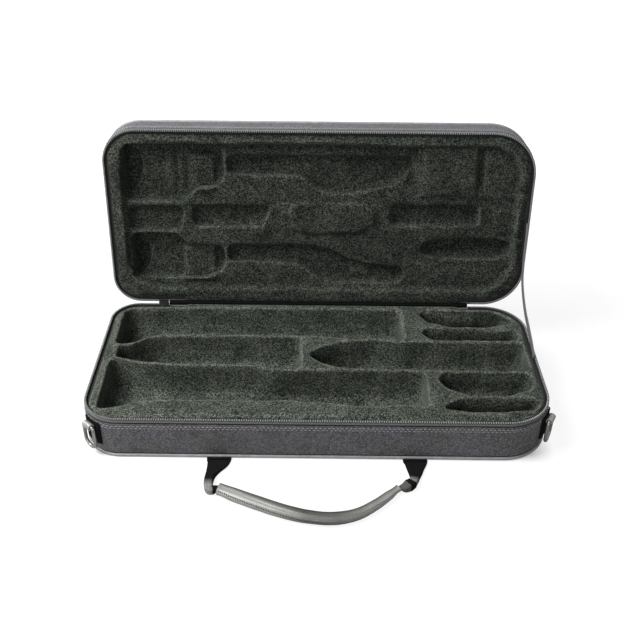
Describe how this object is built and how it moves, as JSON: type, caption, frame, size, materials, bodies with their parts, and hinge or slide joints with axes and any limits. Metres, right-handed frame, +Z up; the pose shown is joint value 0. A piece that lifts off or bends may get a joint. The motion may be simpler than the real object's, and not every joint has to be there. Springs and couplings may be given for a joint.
{
  "type": "clarinet case",
  "caption": "Zip-up soft-shell clarinet case: hinged lid, plush fitted wells, padded carry handle, side D-rings, zip slider and lid stay ribbon.",
  "frame": {"origin": "centre of the base's underside, on the floor", "axes": "+Z up, +X along the case to the right as seen from the handle, -Y towards the handle, hinge at +Y"},
  "size_m": [0.5254, 0.3977, 0.2771],
  "materials": {
    "plush": "short pile plush over foam",
    "nylon": "woven nylon",
    "welt": "satin piping",
    "board": "stiff liner board",
    "teeth": "nylon coil",
    "tape": "woven tape",
    "webbing": "woven webbing",
    "sleeve": "satin synthetic leather",
    "foam": "foam padding",
    "nickel": "satin nickel",
    "ribbon": "thin woven ribbon"
  },
  "bodies": {
    "base": {"base_shell": "board", "base_side_band": "nylon", "base_bottom_panel": "nylon", "base_piping": "welt", "base_insert": "plush", "base_zip_tape": "tape", "base_zip_chain": "teeth", "base_hinge_web": "nylon", "left_handle_tab": "webbing", "right_handle_tab": "webbing", "left_ring_tab": "webbing", "right_ring_tab": "webbing", "lid_stay_ribbon": "ribbon"},
    "lid": {"lid_shell": "board", "lid_side_band": "nylon", "lid_top_panel": "nylon", "lid_piping": "welt", "lid_insert": "plush", "lid_zip_tape": "tape", "lid_zip_chain": "teeth", "lid_hinge_web": "nylon"},
    "handle": {"handle_strap": "webbing", "handle_pad": "foam", "handle_sleeve": "sleeve"},
    "left_ring": {"left_d_ring": "nickel"},
    "right_ring": {"right_d_ring": "nickel"},
    "slider": {"zip_slider": "nickel"},
    "pull": {"zip_pull": "nickel"}
  },
  "joints": [
    {"name": "lid_hinge", "type": "hinge", "parent": "base", "child": "lid", "pos_m": [0, 0.1125, 0.055], "axis": [1, 0, 0], "range_deg": [0, 98], "deforming": ["lid_stay_ribbon"]},
    {"name": "handle_swing", "type": "hinge", "parent": "base", "child": "handle", "pos_m": [0, -0.1176, 0.0012], "axis": [-1, 0, 0], "range_deg": [0, 75]},
    {"name": "left_ring_swing", "type": "hinge", "parent": "base", "child": "left_ring", "pos_m": [-0.24985, -0.10587, 0.04], "axis": [-0.7431, 0.6691, 0], "range_deg": [0, 170]},
    {"name": "right_ring_swing", "type": "hinge", "parent": "base", "child": "right_ring", "pos_m": [0.25813, -0.0874, 0.04], "axis": [-0.4848, -0.8746, 0], "range_deg": [0, 170]},
    {"name": "zip_slide", "type": "slide", "parent": "base", "child": "slider", "axis": [-1, 0, 0], "range_m": [0, 0.022]},
    {"name": "zip_pull_swing", "type": "hinge", "parent": "slider", "child": "pull", "pos_m": [-0.197, 0.1125, 0.052], "axis": [0, 1, 0], "range_deg": [-80, 80]}
  ]
}
